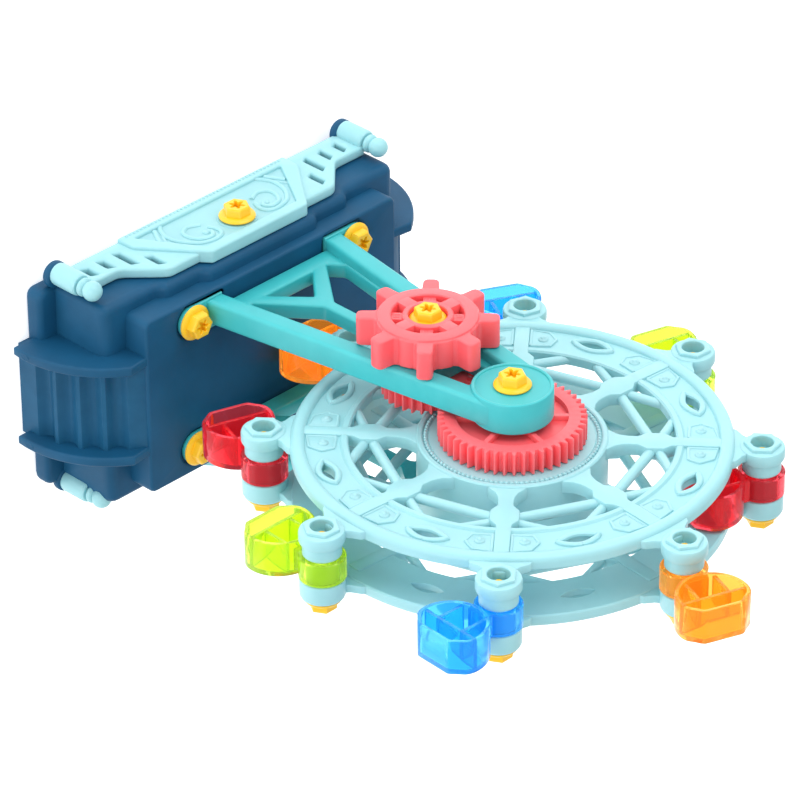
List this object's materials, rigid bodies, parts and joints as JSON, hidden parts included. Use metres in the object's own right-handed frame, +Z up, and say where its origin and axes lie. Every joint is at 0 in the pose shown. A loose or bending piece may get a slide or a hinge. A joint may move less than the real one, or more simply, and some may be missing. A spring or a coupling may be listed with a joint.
{
  "type": "ferris wheel toy",
  "caption": "Hand cranked construction toy: a lattice wheel with swinging cabins turns between two legs on a stepped base, driven by a gear and a crank shaped like a ship's wheel.",
  "frame": {"origin": "middle of the base's underside, on the table", "axes": "+Z up, the wheel's axle along Y with the crank on the -Y side, the base's long side along X"},
  "size_m": [0.2035, 0.1, 0.2788],
  "materials": {
    "navy": "moulded navy blue plastic, satin",
    "mint": "moulded pale mint plastic, semi gloss",
    "teal": "moulded teal plastic, semi gloss",
    "coral": "moulded coral plastic, semi gloss",
    "yellow": "moulded yellow plastic, semi gloss",
    "red_clear": "translucent red plastic, glossy",
    "lime_clear": "translucent lime plastic, glossy",
    "blue_clear": "translucent blue plastic, glossy",
    "orange_clear": "translucent orange plastic, glossy"
  },
  "bodies": {
    "stand": {"base_shell": "navy", "base_cover": "navy", "panel_front": "mint", "panel_rear": "mint", "panel_screw_front": "yellow", "panel_screw_rear": "yellow", "leg_front": "teal", "leg_rear": "teal", "foot_screw_1": "yellow", "foot_screw_2": "yellow", "foot_screw_3": "yellow", "foot_screw_4": "yellow", "axle_screw_front": "yellow", "axle_screw_rear": "yellow", "wheel_axle": "teal"},
    "wheel": {"rim_front": "mint", "rim_rear": "mint", "drive_gear": "coral", "gondola_screw_1": "yellow", "gondola_screw_2": "yellow", "gondola_screw_3": "yellow", "gondola_screw_4": "yellow", "gondola_screw_5": "yellow", "gondola_screw_6": "yellow", "gondola_screw_7": "yellow", "gondola_screw_8": "yellow"},
    "crank": {"crank_wheel": "coral", "crank_screw": "yellow", "crank_pinion": "coral"},
    "cabin_1": {"gondola_1": "red_clear"},
    "cabin_2": {"gondola_2": "lime_clear"},
    "cabin_3": {"gondola_3": "blue_clear"},
    "cabin_4": {"gondola_4": "orange_clear"},
    "cabin_5": {"gondola_5": "red_clear"},
    "cabin_6": {"gondola_6": "lime_clear"},
    "cabin_7": {"gondola_7": "blue_clear"},
    "cabin_8": {"gondola_8": "orange_clear"}
  },
  "joints": [
    {"name": "wheel_spin", "type": "hinge", "parent": "stand", "child": "wheel", "pos_m": [0, 0, 0.1615], "axis": [0, 1, 0], "continuous": true},
    {"name": "crank_spin", "type": "hinge", "parent": "stand", "child": "crank", "pos_m": [0, -0.03, 0.12094], "axis": [0, 1, 0], "continuous": true},
    {"name": "cabin_1_swing", "type": "hinge", "parent": "wheel", "child": "cabin_1", "pos_m": [0.05613, 0.0027, 0.09595], "axis": [0, 1, 0], "continuous": true},
    {"name": "cabin_2_swing", "type": "hinge", "parent": "wheel", "child": "cabin_2", "pos_m": [0.08604, 0.0027, 0.15483], "axis": [0, 1, 0], "continuous": true},
    {"name": "cabin_3_swing", "type": "hinge", "parent": "wheel", "child": "cabin_3", "pos_m": [0.06556, 0.0027, 0.21763], "axis": [0, 1, 0], "continuous": true},
    {"name": "cabin_4_swing", "type": "hinge", "parent": "wheel", "child": "cabin_4", "pos_m": [0.00667, 0.0027, 0.24754], "axis": [0, 1, 0], "continuous": true},
    {"name": "cabin_5_swing", "type": "hinge", "parent": "wheel", "child": "cabin_5", "pos_m": [-0.05613, 0.0027, 0.22706], "axis": [0, 1, 0], "continuous": true},
    {"name": "cabin_6_swing", "type": "hinge", "parent": "wheel", "child": "cabin_6", "pos_m": [-0.08604, 0.0027, 0.16817], "axis": [0, 1, 0], "continuous": true},
    {"name": "cabin_7_swing", "type": "hinge", "parent": "wheel", "child": "cabin_7", "pos_m": [-0.06556, 0.0027, 0.10537], "axis": [0, 1, 0], "continuous": true},
    {"name": "cabin_8_swing", "type": "hinge", "parent": "wheel", "child": "cabin_8", "pos_m": [-0.00667, 0.0027, 0.07546], "axis": [0, 1, 0], "continuous": true}
  ],
  "couplings": [
    {"joint": "crank_spin", "follows": "wheel_spin", "ratio": -1.6}
  ]
}
